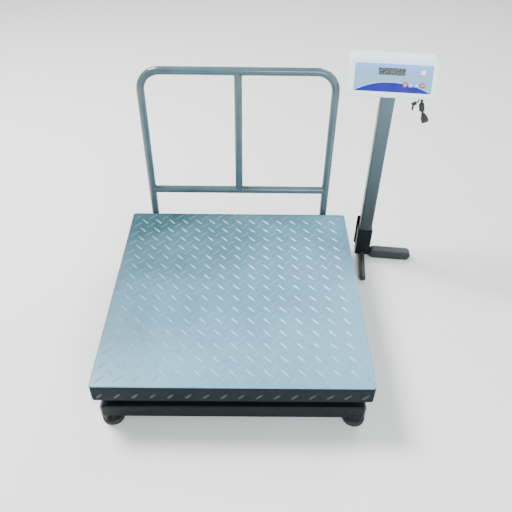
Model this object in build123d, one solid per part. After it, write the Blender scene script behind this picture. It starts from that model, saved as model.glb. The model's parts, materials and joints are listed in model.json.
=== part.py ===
"""Platform shipping scale: chequered platter on a load cell, guard rail, separate indicator stand.

Millimetres, +Z up, the operator stands on the -Y side. Every piece is modelled in the platform's
frame, whose origin is on the floor under the middle of the platter. At the end all pieces move
together, so that the origin is under the middle of the whole object's box.
"""
from build123d import *
import math
import os

# ---- platter -----------------------------------------------------------------------------------
platter_width = 600.0
platter_depth = 600.0
plate_thickness = 3.0
skirt_height = 48.0
platter_corner_radius = 9.0
fold_radius = 4.0
skirt_clearance = 2.5
pad_side = 32.0
pad_thickness = 3.0

# ---- frames under the platter ------------------------------------------------------------------
foot_height = 26.0
frame_inset = 11.5
frame_tube = 38.0
frame_wall = 3.0
frame_corner_radius = 4.0
weigh_tube = 38.0
weigh_wall = 2.5
beam_width = 60.0
upper_beam_height = 32.0
end_cap_thickness = 4.0
end_cap_nut_gap = 1.0
cap_clearance = 0.2

# ---- load cell ---------------------------------------------------------------------------------
cell_length = 150.0
cell_width = 40.0
cell_height = 34.0
cell_bore_radius = 10.0
cell_bore_spacing = 26.0
cell_slot = 6.0
cell_bolt_inset = 15.0
cell_bolt_pitch = 25.0
cell_bolt_radius = 3.95
cell_bolt_depth = 18.0
bolt_head_flats = 13.0
bolt_head_height = 5.3
thread_clearance = 0.05
spacer_length = 50.0
spacer_thickness = 3.0
clearance_hole = 0.5
weigh_travel = 1.0
stop_margin = 0.1
stop_from_end = 70.0
stop_radius = 5.0
stop_flats = 16.0
stop_head_height = 6.4
stop_nut_height = 8.0
stop_engagement = 16.0

# ---- levelling feet ----------------------------------------------------------------------------
foot_pad_radius = 25.0
foot_pad_height = 12.0
foot_collar_height = 5.0
foot_stud_radius = 6.0
foot_flats = 19.0
foot_nut_height = 7.0
weld_nut_height = 10.0
foot_travel = 12.0
foot_stud_reserve = 3.0

# ---- guard rail --------------------------------------------------------------------------------
rail_tube_radius = 10.0
rail_wall = 1.6
rail_spacing = 480.0
rail_rise = 408.0
rail_bend_radius = 50.0
crossbar_rise = 66.0
rail_gap = 10.0
rail_socket_wall = 3.75
rail_socket_clearance = 0.25
rail_socket_floor = 3.0
rail_web = 16.0
rail_bolt_radius = 4.0

# ---- cable gland of the load cell --------------------------------------------------------------
cell_gland_x = 150.0
cell_gland_radius = 6.0
cell_gland_flats = 17.0

# ---- indicator stand ---------------------------------------------------------------------------
stand_beside_platter = 65.0
stand_behind_platter = 2.0
stand_turn = -6.0
column_side = 35.0
column_wall = 2.0
column_corner_radius = 5.0
socket_wall = 2.5
socket_clearance = 0.4
socket_top = 100.0
socket_bottom = 22.0
socket_floor = 4.0
saddle_bottom = 9.0
saddle_depth = 30.0
back_plate_thickness = 4.0
back_plate_reach = 4.0
back_plate_rise = 22.0
back_plate_chamfer = 3.5
floor_pipe_radius = 8.6
floor_pipe_wall = 2.0
floor_pipe_front = 122.0
floor_pipe_rear = 72.0
pipe_cap_skin = 1.6
pipe_cap_grip = 14.0
side_foot_length = 121.0
side_foot_depth = 26.0
side_foot_height = 30.0
side_foot_end_radius = 14.5
side_foot_edge_radius = 5.0
side_foot_y = -6.0
side_bar_depth = 8.0
side_bar_height = 12.0
side_bar_end = 22.0
side_bar_clearance = 0.1
socket_bolt_heights = (50.0, 84.0)

# ---- tilt head ---------------------------------------------------------------------------------
pivot_height = 545.0
column_above_pivot = 7.0
column_cap_height = 3.0
column_cap_bolt_gap = 0.6
tilt_bolt_radius = 4.0
tilt_running_clearance = 0.05
ear_thickness = 3.0
ear_gap = 0.4
ear_radius = 10.0
tilt_head_gap = 0.3
knob_radius = 13.0
knob_length = 13.0
knob_lobes = 6
knob_notch_radius = 3.2

# ---- indicator ---------------------------------------------------------------------------------
case_width = 207.0
face_height = 87.0
face_slope = 28.0
case_top_depth = 46.0
case_wall = 2.5
case_corner_radius = 9.0
case_front_radius = 2.0
case_back_radius = 5.0
face_centre_above_pivot = 0.2
front_shell_depth = 12.0
pocket_half_width = 40.0
pocket_clearance = 0.8
pocket_to_front_shell = 1.1
bracket_half_width = 36.0
bracket_half_height = 14.0
bracket_thickness = 2.5
bracket_screw_x = 28.0
bracket_screw_z = 8.0
bracket_screw_radius = 1.95
bracket_screw_head_radius = 3.5
bracket_screw_head_height = 2.2
bracket_screw_clearance = 0.25
panel_side_margin = 14.0
panel_height = 63.0
panel_corner_radius = 3.0
panel_thickness = 0.5
panel_above_centre = 1.5
panel_clearance = 0.15
window_width = 62.0
window_height = 16.0
window_x = -4.0
window_above_centre = 16.0
window_flange = 2.0
window_flange_thickness = 1.0
display_margin = 4.0
key_first_x = 28.5
key_pitch = 13.0
key_above_centre = -11.8
round_key_radius = 5.6
square_key_side = 9.4
square_key_corner = 1.2
key_gap = 0.3
key_proud = 1.2
key_flange = 0.7
key_flange_thickness = 1.0
key_stem = 2.0
key_travel = 0.8
switch_side = 6.0
switch_height = 2.4
board_side_margin = 16.0
board_height = 60.0
board_thickness = 1.6
board_behind_face = 9.5
board_post_radius = 3.0
board_post_inset = 5.0
board_screw_radius = 1.2
board_screw_head_radius = 2.4
board_screw_head_height = 1.4
# Each chip's side, its distance in from that side, its height from the middle, and its three sizes.
board_chips = ((1, 28, 0, 14, 14, 2), (1, 14, 20, 10, 16, 8), (-1, 26, 18, 18, 10, 2.2),
               (-1, 18, -12, 12, 8, 5))
boss_radius = 4.5
boss_inset = 9.0
boss_inset_low = 21.0
case_screw_radius = 1.5
case_screw_head_radius = 2.8
case_screw_head_height = 2.0
case_counterbore_clearance = 0.4
case_screw_seat = 6.0
case_screw_bite = 7.0
battery_depth = 34.0
battery_height = 60.0
battery_gap = 1.0

# ---- leads under the indicator -----------------------------------------------------------------
gland_from_side = 31.5
gland_y = -40.0
gland_length = 19.0
gland_width = 11.0
gland_drop = 5.0
gland_neck = 3.0
gland_lip = 2.0
gland_corner = 4.0
gland_edge_radius = 1.5
gland_neck_corner = 3.0
gland_clearance = 0.1
lead_radius = 3.0
relief_radius = 1.7
lead_spacing = 6.5
bead_radius = 6.3
bead_length = 17.0
bead_clearance = 0.6
plug_length = 21.0
plug_thickness = 9.0
plug_shoulder = 11.5
plug_entry_inset = 1.0
plug_corner = 2.0
plug_wall = 1.9
plug_entry_width = 9.0
plug_mouth_width = 17.0
plug_mouth_depth = 4.0
angle_plug_length = 11.0
angle_plug_side = 8.0
angle_plug_corner = 2.5
barrel_radius = 2.4
barrel_length = 11.0
barrel_bore_radius = 1.0
lead_route = [(0, 0, 0), (0, 0, -8), (0.9, -1, -15), (4.2, -1.9, -29.5), (9, -2.2, -40)]
relief_route = [(0, 0, 0), (0, 0, -6), (-2.4, -0.5, -10.4), (-5.6, -0.6, -12.4)]

# ---- levels and places worked out from the sizes above -----------------------------------------
base_bottom = foot_height
base_top = base_bottom + frame_tube
cell_bottom = base_top + spacer_thickness
cell_top = cell_bottom + cell_height
weigh_bottom = cell_top + spacer_thickness
weigh_top = weigh_bottom + weigh_tube
plate_underside = weigh_top + pad_thickness
platter_top = plate_underside + plate_thickness
skirt_bottom = platter_top - skirt_height
stand_x = platter_width / 2 + stand_beside_platter
stand_y = platter_depth / 2 + stand_behind_platter
base_half_x = platter_width / 2 - frame_inset
base_half_y = platter_depth / 2 - frame_inset
weigh_half_x = platter_width / 2 - plate_thickness - skirt_clearance
weigh_half_y = platter_depth / 2 - plate_thickness - skirt_clearance
foot_x = base_half_x - frame_tube / 2
foot_y = base_half_y - frame_tube / 2
cell_bolt_outer = cell_length / 2 - cell_bolt_inset
cell_bolt_inner = cell_bolt_outer - cell_bolt_pitch
cell_seat_x = (cell_bolt_outer + cell_bolt_inner) / 2
rail_y = platter_depth / 2 + rail_gap + rail_tube_radius
post_x = rail_spacing / 2
rail_bolt_z = (base_bottom + base_top) / 2
socket_inner = column_side + 2 * socket_clearance
socket_outer = socket_inner + 2 * socket_wall
slope_sine = math.sin(math.radians(face_slope))
slope_cosine = math.cos(math.radians(face_slope))
column_cap_grip = column_above_pivot - tilt_bolt_radius - column_cap_bolt_gap
column_swing = math.hypot(column_side / 2, column_above_pivot + column_cap_height)
pocket_ahead = column_swing + pocket_clearance + bracket_thickness
pocket_above = column_swing + pocket_clearance
face_to_pivot = (front_shell_depth + pocket_to_front_shell + (pocket_ahead + case_wall) * slope_cosine
                 + (pocket_above + case_wall) * slope_sine)
case_y_front = -face_to_pivot
case_y_split = case_y_front + front_shell_depth
face_low = face_centre_above_pivot - face_height / 2
face_high = face_centre_above_pivot + face_height / 2
case_bottom = face_to_pivot * slope_sine + face_low * slope_cosine
case_top = face_to_pivot * slope_sine + face_high * slope_cosine
case_back = -face_to_pivot * slope_cosine + face_high * slope_sine + case_top_depth
beyond_case = 2 * case_width
wall_behind = case_y_front + case_wall
board_front = case_y_front + board_behind_face
board_back = board_front + board_thickness
panel_width = case_width - 2 * panel_side_margin
board_width = case_width - 2 * board_side_margin
gland_x = case_width / 2 - gland_from_side
panel_z = face_centre_above_pivot + panel_above_centre
window_z = face_centre_above_pivot + window_above_centre
key_z = face_centre_above_pivot + key_above_centre
key_places = [key_first_x + i * key_pitch for i in range(4)]
corner_signs = [(-1, -1), (1, -1), (-1, 1), (1, 1)]
corner_names = ["front_left", "front_right", "rear_left", "rear_right"]

nodes = {}


def add(name, *solids):
    """Keep a named sub-part, made of one solid or a group of separate ones."""
    nodes[name] = solids[0] if len(solids) == 1 else Compound(children=list(solids))


# ---- simple shapes -----------------------------------------------------------------------------
def block(x, y, z):
    """A box from its low and high values along each axis."""
    centre = Pos((x[0] + x[1]) / 2, (y[0] + y[1]) / 2, (z[0] + z[1]) / 2)
    return centre * Box(x[1] - x[0], y[1] - y[0], z[1] - z[0])


def rod_x(radius, x, y, z):
    return Pos((x[0] + x[1]) / 2, y, z) * Rot(0, 90, 0) * Cylinder(radius, x[1] - x[0])


def rod_y(radius, x, y, z):
    return Pos(x, (y[0] + y[1]) / 2, z) * Rot(90, 0, 0) * Cylinder(radius, y[1] - y[0])


def rod_z(radius, x, y, z):
    return Pos(x, y, (z[0] + z[1]) / 2) * Cylinder(radius, z[1] - z[0])


def hexagon_z(flats, x, y, z):
    """A hexagon along Z, with two of its flats across X."""
    outline = RegularPolygon(flats / math.sqrt(3), 6, rotation=30)
    return Pos(x, y, z[0]) * extrude(outline, z[1] - z[0])


def hexagon_x(flats, x, y, z):
    outline = extrude(RegularPolygon(flats / math.sqrt(3), 6), x[1] - x[0])
    return Pos(x[0], y, z) * Rot(0, 90, 0) * outline


def hexagon_y(flats, x, y, z):
    outline = extrude(RegularPolygon(flats / math.sqrt(3), 6), y[1] - y[0])
    return Pos(x, y[0], z) * Rot(-90, 0, 0) * outline


def box_tube(size_x, size_y, length, wall, corner):
    """A rectangular tube along +Z from the origin."""
    outer = RectangleRounded(size_x, size_y, corner)
    inner = RectangleRounded(size_x - 2 * wall, size_y - 2 * wall, max(corner - wall, 0.5))
    return extrude(outer - inner, length)


def tube_x(x, y, z, width, height, wall, corner):
    return Pos(x[0], y, z) * Rot(0, 90, 0) * box_tube(height, width, x[1] - x[0], wall, corner)


def tube_y(x, y, z, width, height, wall, corner):
    return Pos(x, y[0], z) * Rot(-90, 0, 0) * box_tube(width, height, y[1] - y[0], wall, corner)


def rounded_plate(width, height, corner, y, z_centre, x_centre=0.0):
    """A plate that faces -Y, with its corners rounded in the XZ plane."""
    outline = extrude(RectangleRounded(width, height, corner), y[1] - y[0])
    return Pos(x_centre, y[1], z_centre) * Rot(90, 0, 0) * outline


def in_stand(shape):
    """Place a shape of the stand's own frame: origin on the floor, on the column's axis."""
    return Pos(stand_x, stand_y, 0) * Rot(0, 0, stand_turn) * shape


def in_case(shape):
    """Place a shape of the level case's frame: origin on the tilt axis, axes as the stand's."""
    return in_stand(Pos(0, 0, pivot_height) * shape)


def in_face(shape):
    """Place a shape of the sloping face's frame: origin on the tilt axis, face towards -Y."""
    return in_case(Rot(-face_slope, 0, 0) * shape)


def level_in_face(shape):
    """Bring a shape of the level case's frame into the frame of the sloping face."""
    return Rot(face_slope, 0, 0) * shape


# ---- platter and pads --------------------------------------------------------------------------
def make_platter():
    outer = Pos(0, 0, skirt_bottom) * extrude(
        RectangleRounded(platter_width, platter_depth, platter_corner_radius), skirt_height)
    outer = fillet(outer.faces().sort_by(Axis.Z)[-1].edges(), fold_radius)
    inner = Pos(0, 0, skirt_bottom) * extrude(
        RectangleRounded(platter_width - 2 * plate_thickness, platter_depth - 2 * plate_thickness,
                         platter_corner_radius - plate_thickness), skirt_height - plate_thickness)
    add("platter_plate", outer - inner)
    pad_x = weigh_half_x - weigh_tube / 2
    pad_y = weigh_half_y - weigh_tube / 2
    pad = extrude(RectangleRounded(pad_side, pad_side, frame_corner_radius), pad_thickness)
    add("platter_pads", *[Pos(sx * pad_x, sy * pad_y, weigh_top) * pad for sx, sy in corner_signs])


# ---- base frame --------------------------------------------------------------------------------
def make_base_frame():
    middle = (base_bottom + base_top) / 2
    inner_x = base_half_x - frame_tube
    inner_y = base_half_y - frame_tube
    rail_end = base_half_x - end_cap_thickness
    end_rails = []
    for side in (-1, 1):
        rail = tube_x((-rail_end, rail_end), side * foot_y, middle,
                      frame_tube, frame_tube, frame_wall, frame_corner_radius)
        for sx in (-1, 1):
            hole = (base_bottom - 1, base_bottom + frame_wall + 1)
            rail -= rod_z(foot_stud_radius + clearance_hole, sx * foot_x, side * foot_y, hole)
        if side > 0:
            wall = (base_half_y - frame_wall - 1, base_half_y + 1)
            rail -= rod_y(cell_gland_radius, cell_gland_x, wall, middle)
        end_rails.append(rail)
    add("base_end_rails", *end_rails)
    side_rails = []
    for side in (-1, 1):
        rail = tube_y(side * foot_x, (-inner_y, inner_y), middle,
                      frame_tube, frame_tube, frame_wall, frame_corner_radius)
        for sy in (-1, 1):
            hole = (base_top - frame_wall - 1, base_top + 1)
            rail -= rod_z(stop_radius + thread_clearance, side * foot_x,
                          sy * (inner_y - stop_from_end), hole)
        side_rails.append(rail)
    add("base_side_rails", *side_rails)
    beam = tube_x((-inner_x, inner_x), 0, middle, beam_width, frame_tube, frame_wall,
                  frame_corner_radius)
    for x in (cell_bolt_inner, cell_bolt_outer):
        beam -= rod_z(cell_bolt_radius + clearance_hole, -x, 0, (base_bottom - 1, base_top + 1))
    add("base_cross_beam", beam)
    caps = []
    grip = frame_tube - 2 * frame_wall - 2 * cap_clearance
    grip_depth = rail_end - foot_x - foot_flats / 2 - end_cap_nut_gap
    for sx, sy in corner_signs:
        cover = box_tube(frame_tube, frame_tube, end_cap_thickness, frame_tube / 2 - 1,
                         frame_corner_radius)
        cover += Pos(0, 0, end_cap_thickness / 2) * Box(grip, grip, end_cap_thickness)
        plug = Pos(0, 0, -grip_depth / 2) * Box(grip, grip, grip_depth)
        caps.append(Pos(sx * rail_end, sy * foot_y, middle) * Rot(0, sx * 90, 0) * (cover + plug))
    add("base_end_caps", *caps)
    stop_top = weigh_bottom - weigh_travel - stop_margin
    screws = []
    nuts = []
    for sx, sy in corner_signs:
        x = sx * foot_x
        y = sy * (inner_y - stop_from_end)
        screw = rod_z(stop_radius, x, y, (base_top - stop_engagement, stop_top - stop_head_height))
        screws.append(screw + hexagon_z(stop_flats, x, y, (stop_top - stop_head_height, stop_top)))
        nut = hexagon_z(stop_flats, x, y, (base_top, base_top + stop_nut_height))
        bore = (base_top - 1, base_top + stop_nut_height + 1)
        nuts.append(nut - rod_z(stop_radius + thread_clearance, x, y, bore))
    add("overload_stop_screws", *screws)
    add("overload_stop_nuts", *nuts)
    gland_back = base_half_y + 5
    gland = hexagon_y(cell_gland_flats, cell_gland_x, (base_half_y, gland_back), middle)
    gland += rod_y(cell_gland_radius + 1, cell_gland_x, (gland_back, gland_back + 8), middle)
    gland += rod_y(cell_gland_radius - thread_clearance, cell_gland_x,
                   (base_half_y - frame_wall - 5, base_half_y), middle)
    gland -= rod_y(cell_gland_radius / 2, cell_gland_x,
                   (base_half_y - frame_wall - 6, gland_back + 9), middle)
    add("load_cable_gland", gland)


# ---- weigh frame and load cell -----------------------------------------------------------------
def make_weigh_frame():
    middle = (weigh_bottom + weigh_top) / 2
    inner_x = weigh_half_x - weigh_tube
    inner_y = weigh_half_y - weigh_tube
    ends = [tube_x((-weigh_half_x, weigh_half_x), side * (weigh_half_y - weigh_tube / 2), middle,
                   weigh_tube, weigh_tube, weigh_wall, frame_corner_radius) for side in (-1, 1)]
    sides = [tube_y(side * (weigh_half_x - weigh_tube / 2), (-inner_y, inner_y), middle,
                    weigh_tube, weigh_tube, weigh_wall, frame_corner_radius) for side in (-1, 1)]
    add("weigh_end_rails", *ends)
    add("weigh_side_rails", *sides)
    beam_top = weigh_bottom + upper_beam_height
    beam = tube_x((-inner_x, inner_x), 0, weigh_bottom + upper_beam_height / 2, beam_width,
                  upper_beam_height, frame_wall, frame_corner_radius)
    for x in (cell_bolt_inner, cell_bolt_outer):
        beam -= rod_z(cell_bolt_radius + clearance_hole, x, 0, (weigh_bottom - 1, beam_top + 1))
    add("weigh_cross_beam", beam)
    return beam_top


def make_load_cell(beam_top):
    middle = (cell_bottom + cell_top) / 2
    half = cell_length / 2
    cell = block((-half, half), (-cell_width / 2, cell_width / 2), (cell_bottom, cell_top))
    cell = fillet(cell.edges().filter_by(Axis.Z), 2)
    across = (-cell_width / 2 - 1, cell_width / 2 + 1)
    for side in (-1, 1):
        cell -= rod_y(cell_bore_radius, side * cell_bore_spacing / 2, across, middle)
    cell -= block((-cell_bore_spacing / 2, cell_bore_spacing / 2), across,
                  (middle - cell_slot / 2, middle + cell_slot / 2))
    lower = []
    upper = []
    for x in (cell_bolt_inner, cell_bolt_outer):
        tapped = cell_bolt_radius + thread_clearance
        cell -= rod_z(tapped, -x, 0, (cell_bottom - 1, cell_bottom + cell_bolt_depth + 2))
        cell -= rod_z(tapped, x, 0, (cell_top - cell_bolt_depth - 2, cell_top + 1))
        shank = rod_z(cell_bolt_radius, -x, 0, (base_bottom, cell_bottom + cell_bolt_depth))
        head = hexagon_z(bolt_head_flats, -x, 0, (base_bottom - bolt_head_height, base_bottom))
        lower.append(shank + head)
        shank = rod_z(cell_bolt_radius, x, 0, (cell_top - cell_bolt_depth, beam_top))
        head = hexagon_z(bolt_head_flats, x, 0, (beam_top, beam_top + bolt_head_height))
        upper.append(shank + head)
    add("load_cell", cell)
    add("cell_lower_bolts", *lower)
    add("cell_upper_bolts", *upper)
    for name, side, low in (("cell_lower_spacer", -1, base_top), ("cell_upper_spacer", 1, cell_top)):
        seat = side * cell_seat_x
        spacer = block((seat - spacer_length / 2, seat + spacer_length / 2),
                       (-cell_width / 2, cell_width / 2), (low, low + spacer_thickness))
        for x in (cell_bolt_inner, cell_bolt_outer):
            hole = (low - 1, low + spacer_thickness + 1)
            spacer -= rod_z(cell_bolt_radius + clearance_hole, side * x, 0, hole)
        add(name, spacer)


# ---- levelling feet ----------------------------------------------------------------------------
def make_feet():
    weld_low = base_bottom + frame_wall
    stud_top = weld_low + weld_nut_height + foot_travel + foot_stud_reserve
    nuts = []
    for (sx, sy), name in zip(corner_signs, corner_names):
        x = sx * foot_x
        y = sy * foot_y
        pad = rod_z(foot_pad_radius, x, y, (0, foot_pad_height))
        pad = fillet(pad.edges().sort_by(Axis.Z)[0], 2.5)
        pad = fillet(pad.edges().sort_by(Axis.Z)[-1], 5)
        add("foot_pad_" + name, pad)
        collar_top = foot_pad_height + foot_collar_height
        stud = hexagon_z(foot_flats, x, y, (foot_pad_height, collar_top))
        stud += rod_z(foot_stud_radius, x, y, (collar_top, stud_top))
        add("foot_stud_" + name, stud)
        for low, high in ((base_bottom - foot_nut_height, base_bottom),
                          (weld_low, weld_low + weld_nut_height)):
            nut = hexagon_z(foot_flats, x, y, (low, high))
            bore = (low - 1, high + 1)
            nuts.append(nut - rod_z(foot_stud_radius + thread_clearance, x, y, bore))
    add("foot_nuts", *nuts)


# ---- guard rail --------------------------------------------------------------------------------
def make_guard_rail():
    post_bottom = base_bottom + rail_socket_floor
    top_z = platter_top + rail_rise
    bar_z = platter_top + crossbar_rise
    corners = [(-post_x, rail_y, post_bottom), (-post_x, rail_y, top_z),
               (post_x, rail_y, top_z), (post_x, rail_y, post_bottom)]
    path = FilletPolyline(*corners, radius=rail_bend_radius)
    start = Plane(origin=corners[0], z_dir=(0, 0, 1))
    bolt_out = rail_y + rail_tube_radius + rail_socket_clearance + rail_socket_wall
    solid_hoop = sweep(start * Circle(rail_tube_radius), path=path)
    hoop = solid_hoop - sweep(start * Circle(rail_tube_radius - rail_wall), path=path)
    sockets = []
    bolts = []
    bore = rail_tube_radius + rail_socket_clearance
    for side in (-1, 1):
        x = side * post_x
        hoop -= rod_y(rail_bolt_radius + thread_clearance, x, (rail_y, bolt_out), rail_bolt_z)
        sleeve = rod_z(bore + rail_socket_wall, x, rail_y, (base_bottom, base_top))
        web = block((x - rail_web / 2, x + rail_web / 2), (base_half_y, rail_y),
                    (base_bottom, base_top))
        sleeve = sleeve + web - rod_z(bore, x, rail_y, (post_bottom, base_top + 1))
        sleeve -= rod_y(rail_bolt_radius + thread_clearance, x, (rail_y, bolt_out + 1), rail_bolt_z)
        sockets.append(sleeve)
        bolt = rod_y(rail_bolt_radius, x, (rail_y + rail_tube_radius / 2, bolt_out), rail_bolt_z)
        bolt += hexagon_y(bolt_head_flats, x, (bolt_out, bolt_out + bolt_head_height), rail_bolt_z)
        bolts.append(bolt)
    add("rail_hoop", hoop)
    add("rail_sockets", *sockets)
    add("rail_bolts", *bolts)
    inner = rail_tube_radius - rail_wall
    solid_bar = rod_x(rail_tube_radius, (-post_x, post_x), rail_y, bar_z)
    hollow_bar = solid_bar - rod_x(inner, (-post_x - 1, post_x + 1), rail_y, bar_z)
    add("rail_crossbar", hollow_bar - solid_hoop)
    post = rod_z(rail_tube_radius, 0, rail_y, (bar_z, top_z))
    post -= rod_z(inner, 0, rail_y, (bar_z - 1, top_z + 1))
    add("rail_centre_post", post - solid_hoop - solid_bar)


# ---- indicator stand ---------------------------------------------------------------------------
def make_stand():
    half_in = socket_inner / 2
    half_out = socket_outer / 2
    column_bottom = socket_bottom + socket_floor
    column_top = pivot_height + column_above_pivot
    back_out = half_out + back_plate_thickness
    socket = block((-half_out, half_out), (-half_out, half_out), (socket_bottom, socket_top))
    socket = fillet(socket.edges().filter_by(Axis.Z), 3)
    socket += block((-half_out, half_out), (-saddle_depth / 2, saddle_depth / 2),
                    (saddle_bottom, socket_bottom))
    plate = block((-half_out - back_plate_reach, half_out), (half_out, back_out),
                  (socket_bottom, socket_top + back_plate_rise))
    left_edges = plate.edges().filter_by(Axis.Y).sort_by(Axis.X)[:2]
    socket += chamfer(left_edges, back_plate_chamfer)
    socket -= block((-half_in, half_in), (-half_in, half_in), (column_bottom, socket_top + 1))
    pipe_axis = floor_pipe_radius
    socket -= rod_y(floor_pipe_radius, 0, (-half_out - 1, back_out + 1), pipe_axis)
    column = box_tube(column_side, column_side, column_top - column_bottom, column_wall,
                      column_corner_radius)
    column = Pos(0, 0, column_bottom) * column
    bolts = []
    for z in socket_bolt_heights:
        hole = (column_side / 2 - column_wall - 1, back_out + 1)
        socket -= rod_y(rail_bolt_radius + thread_clearance, 0, hole, z)
        column -= rod_y(rail_bolt_radius + thread_clearance, 0, hole, z)
        bolt = rod_y(rail_bolt_radius, 0, (column_side / 2 - column_wall - 2, back_out), z)
        bolts.append(bolt + hexagon_y(bolt_head_flats, 0, (back_out, back_out + bolt_head_height), z))
    across = (-column_side, column_side)
    column -= rod_x(tilt_bolt_radius + thread_clearance, across, 0, pivot_height)
    add("stand_socket", in_stand(socket))
    add("stand_column", in_stand(column))
    add("stand_socket_bolts", *[in_stand(bolt) for bolt in bolts])
    pipe_span = (-floor_pipe_front + pipe_cap_skin, floor_pipe_rear - pipe_cap_skin)
    pipe = rod_y(floor_pipe_radius, 0, pipe_span, pipe_axis)
    pipe -= rod_y(floor_pipe_radius - floor_pipe_wall, 0,
                  (pipe_span[0] - 1, pipe_span[1] + 1), pipe_axis)
    add("stand_floor_pipe", in_stand(pipe))
    caps = []
    for end, way in ((pipe_span[0], -1), (pipe_span[1], 1)):
        outer = sorted((end, end + way * pipe_cap_skin))
        inner = sorted((end, end - way * pipe_cap_grip))
        head = rod_y(floor_pipe_radius, 0, outer, pipe_axis)
        rim = head.edges().filter_by(GeomType.CIRCLE).sort_by(Axis.Y)[0 if way < 0 else -1]
        head = fillet(rim, pipe_cap_skin * 0.9)
        grip = rod_y(floor_pipe_radius - floor_pipe_wall - cap_clearance, 0, inner, pipe_axis)
        caps.append(in_stand(head + grip))
    add("stand_pipe_caps", *caps)
    bar_low = saddle_bottom + 1
    bar_x = (half_out, half_out + side_foot_length - side_bar_end)
    bar_y = (side_foot_y - side_bar_depth / 2, side_foot_y + side_bar_depth / 2)
    bar_z = (bar_low, bar_low + side_bar_height)
    add("stand_side_bar", in_stand(block(bar_x, bar_y, bar_z)))
    foot = rounded_plate(side_foot_length, side_foot_height, side_foot_end_radius,
                         (side_foot_y - side_foot_depth / 2, side_foot_y + side_foot_depth / 2),
                         side_foot_height / 2, half_out + side_foot_length / 2)
    ends = foot.faces().sort_by(Axis.Y)
    foot = fillet(ends[0].edges() + ends[-1].edges(), side_foot_edge_radius)
    gap = side_bar_clearance
    foot -= block((bar_x[0] - 1, bar_x[1] + gap), (bar_y[0] - gap, bar_y[1] + gap),
                  (bar_z[0] - gap, bar_z[1] + gap))
    add("stand_side_foot", in_stand(foot))
    cap = Pos(0, 0, column_top) * extrude(
        RectangleRounded(column_side, column_side, column_corner_radius), column_cap_height)
    cap = chamfer(cap.faces().sort_by(Axis.Z)[-1].edges(), column_cap_height * 0.9)
    grip = column_side - 2 * column_wall - 2 * cap_clearance
    cap += Pos(0, 0, column_top - column_cap_grip) * extrude(
        RectangleRounded(grip, grip, column_corner_radius - column_wall), column_cap_grip)
    add("stand_column_cap", in_stand(cap))


# ---- tilt head ---------------------------------------------------------------------------------
def make_tilt_head():
    ear_in = column_side / 2 + ear_gap
    ear_out = ear_in + ear_thickness
    head_at = ear_out + tilt_head_gap
    bolt = hexagon_x(bolt_head_flats, (-head_at - bolt_head_height, -head_at), 0, 0)
    bolt += rod_x(tilt_bolt_radius, (-head_at, head_at + knob_length - 2), 0, 0)
    add("tilt_bolt", in_stand(Pos(0, 0, pivot_height) * bolt))
    knob = rod_x(knob_radius, (head_at, head_at + knob_length), 0, 0)
    for i in range(knob_lobes):
        turn = 2 * math.pi * i / knob_lobes
        knob -= rod_x(knob_notch_radius, (head_at + 2, head_at + knob_length + 1),
                      knob_radius * math.cos(turn), knob_radius * math.sin(turn))
    knob -= rod_x(tilt_bolt_radius + tilt_running_clearance,
                  (head_at - 1, head_at + knob_length - 1.5), 0, 0)
    add("tilt_knob", in_stand(Pos(0, 0, pivot_height) * knob))
    plate_front = -pocket_ahead
    plate_back = plate_front + bracket_thickness
    bracket = block((-bracket_half_width, bracket_half_width), (plate_front, plate_back),
                    (-bracket_half_height, bracket_half_height))
    for side in (-1, 1):
        span = sorted((side * ear_in, side * ear_out))
        bracket += block(span, (plate_back, 0), (-ear_radius, ear_radius))
        bracket += rod_x(ear_radius, span, 0, 0)
        reach = (min(span) - 1, max(span) + 1)
        bracket -= rod_x(tilt_bolt_radius + tilt_running_clearance, reach, 0, 0)
    screws = []
    for sx, sz in corner_signs:
        x = sx * bracket_screw_x
        z = sz * bracket_screw_z
        bracket -= rod_y(bracket_screw_radius + bracket_screw_clearance, x,
                         (plate_front - 1, plate_back + 1), z)
        shank = rod_y(bracket_screw_radius, x, (plate_front - case_wall, plate_back), z)
        head = (plate_back, plate_back + bracket_screw_head_height)
        screws.append(shank + rod_y(bracket_screw_head_radius, x, head, z))
    add("tilt_bracket", in_case(bracket))
    return [in_case(screw) for screw in screws]


# ---- indicator ---------------------------------------------------------------------------------
def case_slab(y, inset):
    """The level case, drawn in by a wall if need be, between two planes parallel to the face."""
    level = rounded_plate(case_width - 2 * inset, case_top - case_bottom - 2 * inset,
                          case_corner_radius - inset, (-beyond_case, case_back - inset),
                          (case_top + case_bottom) / 2)
    across = (-beyond_case, beyond_case)
    return level_in_face(level) & block(across, y, across)


def case_bosses():
    x = case_width / 2 - boss_inset
    heights = (face_low + boss_inset_low, face_high - boss_inset)
    return [(side * x, z) for z in heights for side in (-1, 1)]


def board_posts():
    x = board_width / 2 - board_post_inset
    z = board_height / 2 - board_post_inset
    return [(sx * x, panel_z + sz * z) for sx, sz in corner_signs]


def key_cutter(index, grow, y):
    """The plan of one key, grown by a gap, between two places along Y."""
    if index in (0, 3):
        return rod_y(round_key_radius + grow, key_places[index], y, key_z)
    side = square_key_side + 2 * grow
    return rounded_plate(side, side, square_key_corner + grow, y, key_z, key_places[index])


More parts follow.
